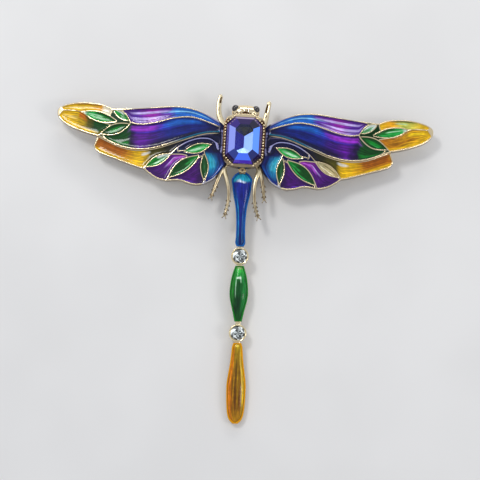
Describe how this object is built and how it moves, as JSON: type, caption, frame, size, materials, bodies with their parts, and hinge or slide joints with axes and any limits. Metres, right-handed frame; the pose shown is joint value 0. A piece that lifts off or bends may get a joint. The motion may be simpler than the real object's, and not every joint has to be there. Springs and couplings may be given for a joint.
{
  "type": "insect brooch",
  "caption": "Dragonfly brooch with enamelled wings, a step-cut stone for a body and a slender drop tail on a jump ring, lying face up on its pin back.",
  "frame": {"origin": "middle of the brooch's own box on the surface that it lies on", "axes": "+Z out of the face of the brooch, +Y towards the head, +X along the right wing"},
  "size_m": [0.065, 0.0563, 0.0085],
  "materials": {
    "gold_cast": "polished gold-tone plating on a casting",
    "gold_wire": "polished gold-tone wire",
    "pin_metal": "polished gold-tone fitting",
    "blue_stone": "step-cut, foil-backed, polished",
    "black_bead": "gloss",
    "clear_stone": "brilliant-cut, foil-backed, polished",
    "enamel_violet": "clear gloss over metal, blue at the root to violet",
    "enamel_blue": "clear gloss over metal, blue to purple to dark green",
    "enamel_amber": "clear gloss over metal, yellow to orange and olive",
    "enamel_band": "clear gloss over metal, yellow at the lobe to olive and navy",
    "enamel_green": "clear gloss over metal",
    "enamel_purple": "clear gloss over metal",
    "enamel_teal": "clear gloss over metal, teal to blue to navy",
    "enamel_tail_blue": "clear gloss, domed",
    "enamel_tail_green": "clear gloss, domed",
    "enamel_tail_amber": "clear gloss, domed"
  },
  "bodies": {
    "root": {"casting": "gold_cast", "sapphire": "blue_stone", "eye_left": "black_bead", "eye_right": "black_bead", "jump_ring": "gold_wire", "tail": "gold_cast", "tail_blue": "enamel_tail_blue", "tail_green": "enamel_tail_green", "tail_amber": "enamel_tail_amber", "round_stone_upper": "clear_stone", "round_stone_lower": "clear_stone", "pin_back": "pin_metal", "left_fore_upper": "enamel_violet", "left_fore_middle": "enamel_blue", "left_amber_upper": "enamel_amber", "left_amber_lower": "enamel_amber", "left_leaf_1": "enamel_green", "left_leaf_2": "enamel_green", "left_leaf_3": "enamel_green", "left_leaf_4": "enamel_green", "left_leaf_5": "enamel_green", "left_leaf_6": "enamel_green", "left_leaf_7": "enamel_green", "left_hind_band": "enamel_band", "left_hind_outer": "enamel_purple", "left_hind_middle": "enamel_purple", "left_hind_root": "enamel_teal", "right_fore_upper": "enamel_violet", "right_fore_middle": "enamel_blue", "right_amber_upper": "enamel_amber", "right_amber_lower": "enamel_amber", "right_leaf_1": "enamel_green", "right_leaf_2": "enamel_green", "right_leaf_3": "enamel_green", "right_leaf_4": "enamel_green", "right_leaf_5": "enamel_green", "right_leaf_6": "enamel_green", "right_leaf_7": "enamel_green", "right_hind_band": "enamel_band", "right_hind_outer": "enamel_purple", "right_hind_middle": "enamel_purple", "right_hind_root": "enamel_teal"}
  },
  "joints": []
}
